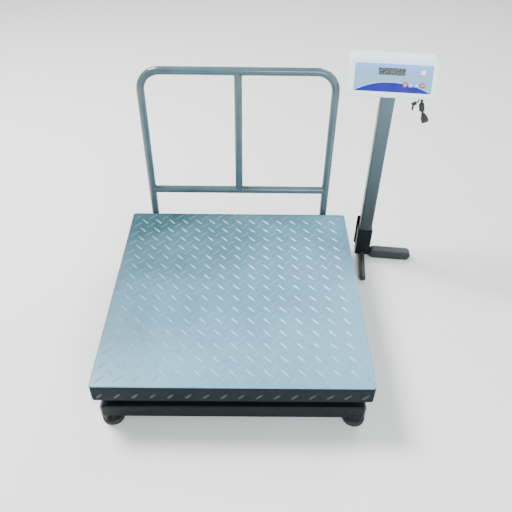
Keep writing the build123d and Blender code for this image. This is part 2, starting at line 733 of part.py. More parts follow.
def make_front_shell():
    shell = case_slab((case_y_front, case_y_split), 0)
    shell = fillet(shell.faces().sort_by(Axis.Y)[0].edges(), case_front_radius)
    shell -= case_slab((wall_behind, case_y_split + 1), case_wall)
    recess = (case_y_front - 1, case_y_front + panel_thickness)
    shell -= rounded_plate(panel_width, panel_height, panel_corner_radius, recess, panel_z)
    through = (case_y_front - 1, wall_behind + 1)
    shell -= rounded_plate(window_width, window_height, 1, through, window_z, window_x)
    for i in range(4):
        shell -= key_cutter(i, key_gap, through)
    for x, z in case_bosses():
        shell += rod_y(boss_radius, x, (wall_behind, case_y_split), z)
        shell -= rod_y(case_screw_radius + thread_clearance, x,
                       (case_y_split - case_screw_bite - 1, case_y_split + 1), z)
    for x, z in board_posts():
        shell += rod_y(board_post_radius, x, (wall_behind, board_front), z)
        shell -= rod_y(board_screw_radius + thread_clearance, x, (wall_behind + 1.5, board_front + 1), z)
    add("indicator_front", in_face(shell))


def make_rear_shell():
    shell = case_slab((case_y_split, beyond_case), 0)
    shell = fillet(shell.faces().sort_by(Axis.Y)[-1].edges(), case_back_radius)
    hollow = case_slab((case_y_split - 1, beyond_case), case_wall)
    shell -= hollow
    wall_out = pocket_half_width + case_wall
    shell += level_in_face(block((-wall_out, wall_out),
                                 (-pocket_ahead - case_wall, case_back - case_wall),
                                 (case_bottom, pocket_above + case_wall)))
    shell -= level_in_face(block((-pocket_half_width, pocket_half_width), (-pocket_ahead, case_back + 1),
                                 (case_bottom - 1, pocket_above)))
    for sx, sz in corner_signs:
        hole = (-pocket_ahead - case_wall - 1, -pocket_ahead + 1)
        shell -= level_in_face(rod_y(bracket_screw_radius + thread_clearance, sx * bracket_screw_x,
                                     hole, sz * bracket_screw_z))
    seat = case_y_split + case_screw_seat
    for x, z in case_bosses():
        shell += rod_y(boss_radius, x, (case_y_split, beyond_case), z) & hollow
        shell -= rod_y(case_screw_head_radius + case_counterbore_clearance, x, (seat, beyond_case), z)
        shell -= rod_y(case_screw_radius + case_counterbore_clearance, x, (case_y_split - 1, seat + 1), z)
    neck = Pos(gland_x, gland_y, case_bottom - 1) * extrude(
        RectangleRounded(gland_length - 2 * gland_lip, gland_width - 2 * gland_lip, gland_neck_corner),
        case_wall + 2)
    shell -= level_in_face(neck)
    add("indicator_rear", in_face(shell))


def make_panel():
    depth = (case_y_front, case_y_front + panel_thickness)
    through = (case_y_front - 1, case_y_front + panel_thickness + 1)
    panel = rounded_plate(panel_width - 2 * panel_clearance, panel_height - 2 * panel_clearance,
                          panel_corner_radius - panel_clearance, depth, panel_z)
    panel -= rounded_plate(window_width, window_height, 1, through, window_z, window_x)
    for i in range(4):
        panel -= key_cutter(i, key_gap, through)
    add("indicator_panel", in_face(panel))
    glass = rounded_plate(window_width - 0.2, window_height - 0.2, 0.9,
                          (case_y_front + panel_thickness, wall_behind), window_z, window_x)
    flange = (wall_behind, wall_behind + window_flange_thickness)
    glass += rounded_plate(window_width + 2 * window_flange, window_height + 2 * window_flange, 1,
                           flange, window_z, window_x)
    add("display_window", in_face(glass))
    module = rounded_plate(window_width + 2 * display_margin, window_height + 2 * display_margin, 1,
                           (flange[1], board_front), window_z, window_x)
    add("display_module", in_face(module))


def make_board(screws):
    board = block((-board_width / 2, board_width / 2), (board_front, board_back),
                  (panel_z - board_height / 2, panel_z + board_height / 2))
    for x in key_places:
        board += block((x - switch_side / 2, x + switch_side / 2),
                       (board_front - switch_height, board_front),
                       (key_z - switch_side / 2, key_z + switch_side / 2))
    for side, inset, above, wide, tall, thick in board_chips:
        x = side * (board_width / 2 - inset)
        z = panel_z + above
        board += block((x - wide / 2, x + wide / 2), (board_back, board_back + thick),
                       (z - tall / 2, z + tall / 2))
    for x, z in board_posts():
        board -= rod_y(board_screw_radius + clearance_hole, x, (board_front - 1, board_back + 1), z)
        shank = rod_y(board_screw_radius, x, (wall_behind + 2, board_back), z)
        head = (board_back, board_back + board_screw_head_height)
        screws.append(in_face(shank + rod_y(board_screw_head_radius, x, head, z)))
    add("main_board", in_face(board))
    seat = case_y_split + case_screw_seat
    for x, z in case_bosses():
        shank = rod_y(case_screw_radius, x, (case_y_split - case_screw_bite, seat), z)
        head = rod_y(case_screw_head_radius, x, (seat, seat + case_screw_head_height), z)
        screws.append(in_face(shank + head))
    add("indicator_screws", *screws)
    left = -case_width / 2 + boss_inset + boss_radius + battery_gap
    right = -pocket_half_width - case_wall - battery_gap
    back = case_back - case_wall
    floor = case_bottom + case_wall
    add("battery", in_case(block((left, right), (back - battery_depth, back),
                                 (floor, floor + battery_height))))


def make_keys():
    names = ["key_round_left", "key_square_left", "key_square_right", "key_round_right"]
    flange_front = wall_behind + key_gap
    for i, name in enumerate(names):
        key = key_cutter(i, 0, (case_y_front - key_proud, flange_front))
        rim = key.faces().sort_by(Axis.Y)[0].edges()
        key = fillet(rim, 0.5)
        key += key_cutter(i, key_gap + key_flange, (flange_front, flange_front + key_flange_thickness))
        stem_back = board_front - switch_height - key_travel - 0.15
        key += rod_y(key_stem, key_places[i], (flange_front, stem_back), key_z)
        add(name, in_face(key))


# ---- leads -------------------------------------------------------------------------------------
def lead_path(points):
    """Straight runs joined by arcs as large as the two runs beside each corner allow."""
    vectors = [Vector(*p) for p in points]
    radii = []
    for a, b, c in zip(vectors, vectors[1:], vectors[2:]):
        half_turn = math.radians((b - a).get_angle(c - b)) / 2
        radii.append(0.45 * min((b - a).length, (c - b).length) / math.tan(half_turn))
    print("lead radii", [round(r, 1) for r in radii])
    return FilletPolyline(*points, radius=radii)


def make_lead(name, radius, exit_point, route):
    points = [tuple(exit_point[k] + p[k] for k in range(3)) for p in route]
    path = lead_path(points)
    start = Plane(origin=points[0], z_dir=Vector(*points[1]) - Vector(*points[0]))
    tube = sweep(start * Circle(radius), path=path)
    print(name, "length", round(path.length, 1), "volume ratio",
          round(tube.volume / (path.length * math.pi * radius ** 2), 4))
    add(name, in_stand(tube))
    return points, tube


def frame_along(start, end):
    """A frame at a point, with +Z along the way to the other point and +X level."""
    way = Vector(*end) - Vector(*start)
    side = Vector(0, -1, 0).cross(way)
    return Plane(origin=start, x_dir=side, z_dir=way)


def frame_after(points):
    """A frame at the end of a route, with +Z on from its last run and +X level."""
    level = frame_along(points[-2], points[-1])
    return Plane(origin=points[-1], x_dir=level.x_dir, z_dir=level.z_dir)


def make_leads():
    exit_low = case_bottom - gland_drop
    gland = Pos(gland_x, gland_y, exit_low) * extrude(
        RectangleRounded(gland_length, gland_width, gland_corner), gland_drop)
    gland = fillet(gland.faces().sort_by(Axis.Z)[0].edges(), gland_edge_radius)
    lip = 2 * (gland_lip + gland_clearance)
    gland += Pos(gland_x, gland_y, case_bottom) * extrude(
        RectangleRounded(gland_length - lip, gland_width - lip, gland_neck_corner - gland_clearance),
        gland_neck + case_wall)
    add("lead_gland", in_case(gland))
    long_exit = (gland_x + lead_spacing / 2, gland_y, pivot_height + exit_low)
    points, tube = make_lead("lead_long", lead_radius, long_exit, lead_route)
    bead_frame = frame_along(points[2], points[3])
    run = (Vector(*points[3]) - Vector(*points[2])).length
    ring = Circle(bead_radius) - Circle(lead_radius + bead_clearance)
    bead = bead_frame * Pos(0, 0, (run - bead_length) / 2) * extrude(ring, bead_length)
    add("lead_bead", in_stand(bead))
    entry = RectangleRounded(plug_entry_width, plug_thickness - plug_entry_inset, plug_corner)
    shoulder = Pos(0, 0, plug_shoulder) * RectangleRounded(plug_mouth_width, plug_thickness, plug_corner)
    mouth = Pos(0, 0, plug_length) * RectangleRounded(plug_mouth_width, plug_thickness, plug_corner)
    hood = loft([entry, shoulder]) + loft([shoulder, mouth])
    recess = Pos(0, 0, plug_length - plug_mouth_depth) * extrude(
        RectangleRounded(plug_mouth_width - 2 * plug_wall, plug_thickness - 2 * plug_wall, 1),
        plug_mouth_depth + 1)
    add("lead_plug", in_stand(frame_after(points) * (hood - recess)))
    short_exit = (gland_x - lead_spacing / 2, gland_y, pivot_height + exit_low)
    points, tube = make_lead("angle_plug_relief", relief_radius, short_exit, relief_route)
    body_frame = frame_after(points)
    body = extrude(RectangleRounded(angle_plug_side, angle_plug_side, angle_plug_corner),
                   angle_plug_length)
    end = (body_frame * Pos(0, 0, angle_plug_length - angle_plug_side / 2)).position
    barrel_low = end.Z - angle_plug_side / 2 - barrel_length
    barrel = rod_z(barrel_radius, end.X, end.Y, (barrel_low, end.Z))
    barrel -= rod_z(barrel_bore_radius, end.X, end.Y, (barrel_low - 1, barrel_low + barrel_length))
    add("lead_angle_plug", in_stand(body_frame * body + barrel))


def write_parts():
    """Move every piece so that the origin is under the middle of the whole box, and save it."""
    boxes = [shape.bounding_box() for shape in nodes.values()]
    middle_x = (min(b.min.X for b in boxes) + max(b.max.X for b in boxes)) / 2
    middle_y = (min(b.min.Y for b in boxes) + max(b.max.Y for b in boxes)) / 2
    os.makedirs("parts", exist_ok=True)
    for name, shape in nodes.items():
        export_step(Pos(-middle_x, -middle_y, 0) * shape, "parts/" + name + ".step")
    print("origin shift", round(middle_x, 3), round(middle_y, 3))
    return middle_x, middle_y


make_platter()
make_base_frame()
make_load_cell(make_weigh_frame())
make_feet()
make_guard_rail()
make_stand()
bracket_screws = make_tilt_head()
make_front_shell()
make_rear_shell()
make_panel()
make_board(bracket_screws)
make_keys()
make_leads()
origin_x, origin_y = write_parts()
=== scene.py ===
"""Platform shipping scale: materials, chequered plate, weld beads, printed panel, lead, camera, lights."""
import json
import math
import bmesh
import bpy
from mathutils import Matrix, Vector


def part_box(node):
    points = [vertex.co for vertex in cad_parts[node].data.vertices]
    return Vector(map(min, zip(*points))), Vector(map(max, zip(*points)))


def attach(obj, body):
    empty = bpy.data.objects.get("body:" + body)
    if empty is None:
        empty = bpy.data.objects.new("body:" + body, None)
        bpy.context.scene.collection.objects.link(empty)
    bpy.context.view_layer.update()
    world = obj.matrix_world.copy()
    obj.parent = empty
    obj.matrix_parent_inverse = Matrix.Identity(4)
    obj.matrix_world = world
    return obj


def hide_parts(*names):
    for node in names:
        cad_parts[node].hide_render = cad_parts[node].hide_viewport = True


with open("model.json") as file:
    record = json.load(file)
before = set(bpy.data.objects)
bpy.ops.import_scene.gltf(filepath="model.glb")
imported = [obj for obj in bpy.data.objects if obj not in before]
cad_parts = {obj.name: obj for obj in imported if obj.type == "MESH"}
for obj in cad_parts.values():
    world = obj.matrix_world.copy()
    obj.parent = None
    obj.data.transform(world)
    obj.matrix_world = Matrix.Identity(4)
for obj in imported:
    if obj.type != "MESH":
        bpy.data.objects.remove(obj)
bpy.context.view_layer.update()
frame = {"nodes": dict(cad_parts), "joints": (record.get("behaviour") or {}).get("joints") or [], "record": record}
joints = {joint["name"]: joint for joint in frame["joints"]}

# ---- places, all in metres, taken from the CAD frame --------------------------------------------
plate_low, plate_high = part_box("platter_plate")
middle = (plate_low + plate_high) / 2
platter_x, platter_y = middle.x, middle.y

# Camera: its place over the platter's middle, and the way it looks.
CAMERA_AT = (0.03783, -1.01696, 1.13266)
CAMERA_PITCH = math.radians(41.0369)
CAMERA_YAW = math.radians(0.51315)
CAMERA_ROLL = math.radians(0.84774)
CAMERA_LENS = 40.65

# Chequered plate.
TREAD_HEIGHT = 0.0018
TREAD_PITCH = 0.0372
TREAD_LENGTH = 0.030
TREAD_WIDTH = 0.0062
SKIRT_LUG_LENGTH = 0.022
TREAD_ANGLE = math.radians(47)
LUG_STATIONS = 8
LUG_STRIPS = 4
LUG_END_CROWDING = 0.8
LUG_OUTLINE_POWER = 2.6
LUG_OUTLINE_FULLNESS = 0.8
LUG_RISE_POWER = 3.0
LUG_FLANK_POWER = 1.25
LUG_SINK = 0.00005
SHORTEST_LUG = 0.2
SKIRT_LUG_ABOVE_EDGE = 0.016
SKIRT_LUG_TO_CORNER = 0.016
PLATE_WALL = 0.003
PLATE_CORNER = 0.009
PLATE_FOLD = 0.0026
FOLD_STEPS = 7
# Shell faces whose normal's Z is under this take the skirt's painted shade.
SIDEWAYS = 0.5

# Guard rail.
RAIL_RADIUS = 0.010
WELD_RADIUS = 0.0016
WELD_STEPS = 72
WELD_SIDES = 8
WELD_SADDLE = 0.012
WELD_OUT = 1.01

# Indicator face, in its own frame: origin on the tilt axis, X right, Y back, Z up.
FACE_SLOPE = math.radians(28)
FACE_Y = -0.047029
PRINT_THICKNESS = 0.00008
PANEL_HALF_WIDTH = 0.0891
PANEL_CENTRE = 0.0017
PANEL_HALF_HEIGHT = 0.0312
PANEL_BLUE_EDGE = 0.022
SWEEP_MIDDLE = -0.006
SWEEP_HEIGHT = 0.0215
SWEEP_POWER = 2.1
SWEEP_EDGE = 0.0014
STRIP_STEPS = 480
KEY_X = [0.0285 + 0.013 * i for i in range(4)]
KEY_Z = -0.0116
KEY_PROUD = 0.0012
ROUND_KEY_GAP = 0.0061
SQUARE_KEY_GAP = 0.0052
ROUND_KEY_CENTRE = 0.0031
SQUARE_KEY_CENTRE = 0.0030
WHITE_SQUARE = [(0.0620, 0.0120), (0.0720, 0.0120), (0.0720, 0.0215), (0.0620, 0.0215)]
# Each dark dot's name, X, Z and radius.
PRINTED_DOTS = (("print_mark_left", -0.0395, 0.0202, 0.0009), ("print_mark_right", 0.0560, 0.0172, 0.0009),
                ("print_mark_low", 0.0345, 0.0035, 0.0007))
DOT_SIDES = 20
RING_SIDES = 36

# Long lead: the route's points from its exit, in the stand's frame.
LEAD_EXIT = (0.07525, -0.040, 0.523847)
LEAD_ROUTE = [(0, 0, 0), (0, 0, -0.008), (0.0009, -0.001, -0.015), (0.0042, -0.0019, -0.0295),
              (0.009, -0.0022, -0.040)]
LEAD_DIAMETER = 0.006


def frames_of_the_stand():
    """The stand's frame, on the floor under the tilt axis, and the indicator's frame on that axis."""
    tilt = joints["indicator_tilt"]
    pivot = Vector(tilt["pos_m"])
    across = -Vector(tilt["axis"]).normalized()
    up = Vector((0, 0, 1))
    back = up.cross(across)
    turn = Matrix((across, back, up)).transposed().to_4x4()
    stand = Matrix.Translation((pivot.x, pivot.y, 0)) @ turn
    head = Matrix.Translation(pivot) @ turn @ Matrix.Rotation(-FACE_SLOPE, 4, "X")
    return stand, head


stand_frame, head_frame = frames_of_the_stand()


# ---- camera ------------------------------------------------------------------------------------
def make_camera():
    forward = Vector((0, math.cos(CAMERA_PITCH), -math.sin(CAMERA_PITCH)))
    down = Vector((0, -math.sin(CAMERA_PITCH), -math.cos(CAMERA_PITCH)))
    right = Vector((1, 0, 0))
    cos_roll, sin_roll = math.cos(CAMERA_ROLL), math.sin(CAMERA_ROLL)
    right, down = right * cos_roll - down * sin_roll, right * sin_roll + down * cos_roll
    yaw = Matrix.Rotation(-CAMERA_YAW, 3, "Z")
    turn = Matrix((yaw @ right, yaw @ -down, yaw @ -forward)).transposed().to_4x4()
    data = bpy.data.cameras.new("photo_camera")
    data.lens = CAMERA_LENS
    data.sensor_width = 36
    data.clip_start, data.clip_end = 0.01, 60
    camera = bpy.data.objects.new("photo_camera", data)
    bpy.context.scene.collection.objects.link(camera)
    place = Vector((CAMERA_AT[0] + platter_x, CAMERA_AT[1] + platter_y, CAMERA_AT[2]))
    camera.matrix_world = Matrix.Translation(place) @ turn
    bpy.context.scene.camera = camera


make_camera()


# ---- mesh helpers ------------------------------------------------------------------------------
def piece(name, vertices, faces, body, mat, smooth_below=35.0):
    """A mesh object that rides on a body, smooth wherever its faces meet at a small angle."""
    mesh = bpy.data.meshes.new(name)
    mesh.from_pydata([tuple(v) for v in vertices], [], faces)
    mesh.validate()
    work = bmesh.new()
    work.from_mesh(mesh)
    bmesh.ops.recalc_face_normals(work, faces=work.faces)
    work.to_mesh(mesh)
    work.free()
    for polygon in mesh.polygons:
        polygon.use_smooth = True
    mesh.set_sharp_from_angle(angle=math.radians(smooth_below))
    mesh.materials.append(mat)
    made = bpy.data.objects.new(name, mesh)
    bpy.context.scene.collection.objects.link(made)
    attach(made, body)
    return made


def rounded_outline(half_x, half_y, corner, steps=8):
    """Points round a rounded rectangle, counterclockwise from its +X, -Y corner."""
    points = []
    for sx, sy, start in ((1, -1, -90), (1, 1, 0), (-1, 1, 90), (-1, -1, 180)):
        for k in range(steps + 1):
            angle = math.radians(start + 90 * k / steps)
            points.append((sx * (half_x - corner) + corner * math.cos(angle),
                           sy * (half_y - corner) + corner * math.sin(angle)))
    return points


def swept_tube(points, radii, sides=12, closed=True):
    """Vertices and faces of a tube along points, with a radius at each."""
    vertices = []
    count = len(points)
    previous = None
    for k, point in enumerate(points):
        ahead = points[(k + 1) % count] if closed else points[min(k + 1, count - 1)]
        behind = points[(k - 1) % count] if closed else points[max(k - 1, 0)]
        way = (ahead - behind).normalized()
        if previous is None:
            helper = Vector((0, 0, 1)) if abs(way.z) < 0.9 else Vector((1, 0, 0))
            side = way.cross(helper).normalized()
        else:
            side = (previous - way * previous.dot(way)).normalized()
        previous = side
        other = way.cross(side)
        for j in range(sides):
            angle = 2 * math.pi * j / sides
            vertices.append(point + (side * math.cos(angle) + other * math.sin(angle)) * radii[k])
    faces = []
    for k in range(count if closed else count - 1):
        for j in range(sides):
            a, b = k * sides + j, k * sides + (j + 1) % sides
            c, d = ((k + 1) % count) * sides + (j + 1) % sides, ((k + 1) % count) * sides + j
            faces.append((a, b, c, d))
    return vertices, faces


# ---- materials ---------------------------------------------------------------------------------
# The colour sockets of a mix node, and its colour output.
MIX_FACTOR, MIX_FIRST, MIX_SECOND, MIX_COLOUR = 0, 6, 7, 2
# How far from the middle of the noise a paint's two tones part.
BLOTCH_SPREAD = 0.28


def new_material(name):
    mat = bpy.data.materials.new(name)
    mat.use_nodes = True
    tree = mat.node_tree
    return mat, tree, tree.nodes["Principled BSDF"]


def node(tree, kind, inputs=None, **settings):
    """A shader node with its settings, and its sockets set or linked by name or number."""
    made = tree.nodes.new(kind)
    for key, value in settings.items():
        setattr(made, key, value)
    for key, value in (inputs or {}).items():
        if isinstance(value, bpy.types.NodeSocket):
            tree.links.new(value, made.inputs[key])
        else:
            made.inputs[key].default_value = value
    return made


def noise(tree, scale, detail=3.0, stretch=(1, 1, 1), roughness=0.55):
    """Noise in the piece's own space, stretched along its axes."""
    place = node(tree, "ShaderNodeTexCoord").outputs["Object"]
    mapped = node(tree, "ShaderNodeMapping", {"Vector": place, "Scale": stretch})
    made = node(tree, "ShaderNodeTexNoise", {"Vector": mapped.outputs[0], "Scale": scale,
                                             "Detail": detail, "Roughness": roughness})
    return made.outputs["Fac"]


def remap(tree, value, low, high, to_low, to_high):
    made = node(tree, "ShaderNodeMapRange", {"Value": value, "From Min": low, "From Max": high,
                                             "To Min": to_low, "To Max": to_high})
    return made.outputs["Result"]


def spread(tree, value, to_low, to_high):
    """Stretch the middle of a noise, where nearly all of it lies, over a range."""
    return remap(tree, value, 0.3, 0.7, to_low, to_high)


def blend(tree, factor, first, second):
    """Mix two colours, each a socket or three numbers."""
    made = tree.nodes.new("ShaderNodeMix")
    made.data_type = "RGBA"
    for key, value in ((MIX_FACTOR, factor), (MIX_FIRST, first), (MIX_SECOND, second)):
        if isinstance(value, bpy.types.NodeSocket):
            tree.links.new(value, made.inputs[key])
        elif key:
            made.inputs[key].default_value = (*value, 1)
        else:
            made.inputs[key].default_value = value
    return made.outputs[MIX_COLOUR]


def add_bump(tree, shader, height, strength, distance, under=None):
    made = node(tree, "ShaderNodeBump", {"Height": height, "Strength": strength, "Distance": distance})
    if under is not None:
        tree.links.new(under, made.inputs["Normal"])
    tree.links.new(made.outputs["Normal"], shader.inputs["Normal"])
    return made.outputs["Normal"]


def coated(name, light, dark, roughness, blotch=9.0, peel=420.0, peel_strength=0.12, coat=0.0,
           specular=0.5):
    """A paint, plastic or rubber: two tones in soft blotches, uneven gloss, and a fine skin."""
    mat, tree, shader = new_material(name)
    patches = noise(tree, blotch, 4.0)
    shade = remap(tree, patches, 0.5 - BLOTCH_SPREAD, 0.5 + BLOTCH_SPREAD, 0.0, 1.0)
    tree.links.new(blend(tree, shade, dark, light), shader.inputs["Base Color"])
    rub = noise(tree, blotch * 4, 5.0)
    tree.links.new(spread(tree, rub, roughness * 0.82, min(1.0, roughness * 1.2)),
                   shader.inputs["Roughness"])
    shader.inputs["Specular IOR Level"].default_value = specular
    shader.inputs["Coat Weight"].default_value = coat
    shader.inputs["Coat Roughness"].default_value = 0.12
    add_bump(tree, shader, noise(tree, peel, 2.0), peel_strength, 0.0004)
    return mat


def axis_value(tree, direction, origin):
    """How far a point lies along a direction from an origin, in the piece's own space."""
    place = node(tree, "ShaderNodeTexCoord").outputs["Object"]
    moved = node(tree, "ShaderNodeVectorMath", {0: place, 1: tuple(origin)}, operation="SUBTRACT")
    along = node(tree, "ShaderNodeVectorMath", {0: moved.outputs[0], 1: tuple(direction)},
                 operation="DOT_PRODUCT")
    return along.outputs["Value"]


def make_tread_material(name, shaded_back_left, sheen_front, gloss, specular):
    """Blue-grey enamel on the plate with painted sheen and painted shade: paler to the front, deeper at the back
    left.
    """
    mat, tree, shader = new_material(name)
    corner = (plate_low.x, plate_high.y, 0)
    across = Vector((0.62, -0.78, 0))
    # Painted sheen and painted shade: the colour runs from the darker back left corner to the paler front.
    reach = remap(tree, axis_value(tree, across, corner), 0.05, 0.62, 0.0, 1.0)
    patches = spread(tree, noise(tree, 6.0, 3.0), -0.16, 0.16)
    mixed = node(tree, "ShaderNodeMath", {0: reach, 1: patches}, operation="ADD", use_clamp=True)
    top = blend(tree, mixed.outputs[0], shaded_back_left, sheen_front)
    grime = remap(tree, noise(tree, 55.0, 6.0, (1, 1, 1), 0.7), 0.56, 0.74, 0.0, 0.35)
    tree.links.new(blend(tree, grime, top, (0.03, 0.06, 0.07)), shader.inputs["Base Color"])
    rub = noise(tree, 34.0, 5.0, (1, 0.35, 1), 0.65)
    tree.links.new(spread(tree, rub, *gloss), shader.inputs["Roughness"])
    shader.inputs["Specular IOR Level"].default_value = specular
    add_bump(tree, shader, noise(tree, 260.0, 3.0), 0.16, 0.0005)
    return mat


def make_column_shadow_material():
    """Grey-blue enamel that goes darker and greener towards the socket: a painted shadow of the platter over the
    column's foot.
    """
    mat, tree, shader = new_material("column_shadowed_enamel")
    height = axis_value(tree, (0, 0, 1), (0, 0, 0))
    # Painted shadow: the colour darkens from 0.50 m down to 0.10 m.
    up = remap(tree, height, 0.10, 0.50, 0.0, 1.0)
    patches = spread(tree, noise(tree, 11.0, 4.0, (1, 1, 0.35)), -0.14, 0.14)
    mixed = node(tree, "ShaderNodeMath", {0: up, 1: patches}, operation="ADD", use_clamp=True)
    shade = blend(tree, mixed.outputs[0], (0.014, 0.030, 0.038), (0.086, 0.150, 0.172))
    tree.links.new(shade, shader.inputs["Base Color"])
    tree.links.new(spread(tree, noise(tree, 40.0, 5.0, (1, 1, 0.2)), 0.26, 0.44),
                   shader.inputs["Roughness"])
    add_bump(tree, shader, noise(tree, 330.0, 2.0), 0.12, 0.0004)
    return mat


def make_side_foot_material():
    """Black rubber with a paler top: painted light on the upward faces."""
    mat, tree, shader = new_material("side_foot_lit_top_rubber")
    facing = node(tree, "ShaderNodeSeparateXYZ",
                  {0: node(tree, "ShaderNodeNewGeometry").outputs["Normal"]}).outputs["Z"]
    # Painted light: upward faces paler, with the edge of the paler part made patchy by noise.
    top_light_noise = noise(tree, 42.0, 5.0)
    lifted = node(tree, "ShaderNodeMath", {0: facing, 1: spread(tree, top_light_noise, -0.12, 0.12)},
                  operation="ADD")
    lit_top = remap(tree, lifted.outputs[0], 0.45, 0.95, 0.0, 1.0)
    tree.links.new(blend(tree, lit_top, (0.008, 0.014, 0.014), (0.060, 0.076, 0.074)),
                   shader.inputs["Base Color"])
    shader.inputs["Roughness"].default_value = 0.55
    add_bump(tree, shader, noise(tree, 500.0, 3.0), 0.2, 0.0004)
    return mat


def make_metal(name, colour, roughness, brush):
    """Bare or plated metal with fine drawn lines."""
    mat, tree, shader = new_material(name)
    lines = noise(tree, 300.0, 3.0, brush)
    shade = blend(tree, spread(tree, lines, 0.0, 1.0), [c * 0.78 for c in colour], colour)
    tree.links.new(shade, shader.inputs["Base Color"])
    tree.links.new(spread(tree, lines, roughness * 0.8, roughness * 1.25),
                   shader.inputs["Roughness"])
    shader.inputs["Metallic"].default_value = 1.0
    add_bump(tree, shader, lines, 0.08, 0.0003)
    return mat


def make_panel_material():
    """The printed film: teal-grey, going to a light blue along its top edge."""
    mat, tree, shader = new_material("panel_film")
    up = head_frame.to_3x3() @ Vector((0, 0, 1))
    height = axis_value(tree, up, head_frame.translation)
    top = PANEL_CENTRE + PANEL_HALF_HEIGHT
    rise = remap(tree, height, top - PANEL_BLUE_EDGE, top - 0.001, 0.0, 1.0)
    body = blend(tree, rise, (0.205, 0.410, 0.580), (0.200, 0.420, 1.000))
    grain = spread(tree, noise(tree, 900.0, 2.0), 0.0, 0.08)
    tree.links.new(blend(tree, grain, body, (0.75, 0.85, 0.9)), shader.inputs["Base Color"])
    shader.inputs["Roughness"].default_value = 0.42
    shader.inputs["Specular IOR Level"].default_value = 0.25
    add_bump(tree, shader, noise(tree, 1400.0, 2.0), 0.05, 0.0002)
    return mat


def make_glass():
    mat, tree, shader = new_material("window_glass")
    shader.inputs["Base Color"].default_value = (0.10, 0.14, 0.14, 1)
    shader.inputs["Roughness"].default_value = 0.06
    shader.inputs["IOR"].default_value = 1.49
    shader.inputs["Alpha"].default_value = 0.16
    add_bump(tree, shader, noise(tree, 600.0, 2.0), 0.03, 0.0002)
    return mat


materials = {
    # The plate's enamel, with painted sheen paler to the front and painted shade at the back left.
    "tread_plate": make_tread_material("tread_enamel_painted_sheen", (0.028, 0.082, 0.105), (0.150, 0.355, 0.490),
                                       (0.25, 0.38), 0.45),
    "rail_enamel": coated("rail_enamel", (0.085, 0.150, 0.175), (0.048, 0.090, 0.108), 0.20,
                          blotch=16, coat=0.25),
    # Black paint made near-black on the frame, beams and sockets: partly their own paint, partly painted shade
    # under the platter and painted shadow on the stand's socket.
    "frame_black": coated("frame_black", (0.006, 0.010, 0.011), (0.003, 0.005, 0.006), 0.50, blotch=12,
                          specular=0.16),
    "pipe_grey": coated("pipe_grey", (0.070, 0.088, 0.083), (0.026, 0.035, 0.034), 0.48, blotch=26),
    "zinc_steel": make_metal("zinc_steel", (0.60, 0.60, 0.57), 0.34, (1, 1, 6)),
    "cell_aluminium": make_metal("cell_aluminium", (0.74, 0.75, 0.76), 0.30, (0.15, 4, 4)),
    "black_rubber": coated("black_rubber", (0.026, 0.029, 0.029), (0.014, 0.016, 0.016), 0.72, peel=600,
                           peel_strength=0.25),
    "black_plastic": coated("black_plastic", (0.024, 0.026, 0.027), (0.013, 0.015, 0.015), 0.45,
                            peel=900, peel_strength=0.2),
    "case_white": coated("case_white", (0.86, 0.96, 1.00), (0.82, 0.93, 0.98), 0.36, peel=1100,
                         peel_strength=0.10, blotch=7),
    "panel_print": make_panel_material(),
    "clear_window": make_glass(),
    "display_grey": coated("display_grey", (0.026, 0.060, 0.066), (0.020, 0.048, 0.054), 0.45, peel=1500,
                           peel_strength=0.04),
    "key_red": coated("key_red", (0.42, 0.020, 0.050), (0.34, 0.014, 0.040), 0.42, peel=1500,
                      peel_strength=0.06),
    "key_blue": coated("key_blue", (0.20, 0.42, 0.85), (0.17, 0.38, 0.80), 0.42, peel=1500,
                       peel_strength=0.06),
    "board_green": coated("board_green", (0.030, 0.19, 0.075), (0.018, 0.13, 0.050), 0.38, blotch=60),
    "lead_black": coated("lead_black", (0.020, 0.022, 0.023), (0.012, 0.014, 0.015), 0.50, peel=1600,
                         peel_strength=0.2),
}
column_shadowed_enamel = make_column_shadow_material()
# The lugs' copy of the plate enamel, paler all over: painted highlight on the lugs, with the same painted sheen
# and shade as the plate.
lug_painted_highlight = make_tread_material("tread_lug_painted_highlight", (0.055, 0.130, 0.155), (0.215, 0.440, 0.575),
                                 (0.36, 0.46), 1.0)
# The skirt is the same sheet as the top, painted near-black: painted shade on the plate's sides and, a little
# paler, on their lugs.
skirt_painted_shade = coated("skirt_painted_shade", (0.004, 0.010, 0.014), (0.002, 0.006, 0.009), 0.50, blotch=14,
                      specular=0.12)
skirt_lug_painted_shade = coated("skirt_lug_painted_shade", (0.030, 0.048, 0.056), (0.012, 0.022, 0.028), 0.40,
                          blotch=30)
side_foot_lit_top_rubber = make_side_foot_material()
print_blue = coated("print_blue", (0.004, 0.010, 0.280), (0.003, 0.008, 0.240), 0.42, peel=1400,
                    peel_strength=0.04, specular=0.2)
print_sky = coated("print_sky", (0.40, 0.66, 0.95), (0.36, 0.62, 0.92), 0.36, peel=1400, peel_strength=0.04)
print_white = coated("print_white", (0.90, 0.94, 0.96), (0.85, 0.90, 0.93), 0.40, peel=1400,
                     peel_strength=0.04)
print_dark = coated("print_dark", (0.055, 0.085, 0.110), (0.045, 0.070, 0.095), 0.40, peel=1400,
                    peel_strength=0.04)
print_pink = coated("print_pink", (0.75, 0.30, 0.35), (0.66, 0.24, 0.29), 0.42, peel=1400,
                    peel_strength=0.04)

slot_of = {part["node"]: part["material_slot"] for part in frame["record"]["subparts"]}
for name, thing in frame["nodes"].items():
    chosen = materials[slot_of[name]]
    if name in ("stand_column", "stand_column_cap"):
        chosen = column_shadowed_enamel
    if name == "stand_side_foot":
        chosen = side_foot_lit_top_rubber
    if thing.material_slots:
        for place in thing.material_slots:
            place.material = chosen
    else:
        thing.data.materials.append(chosen)


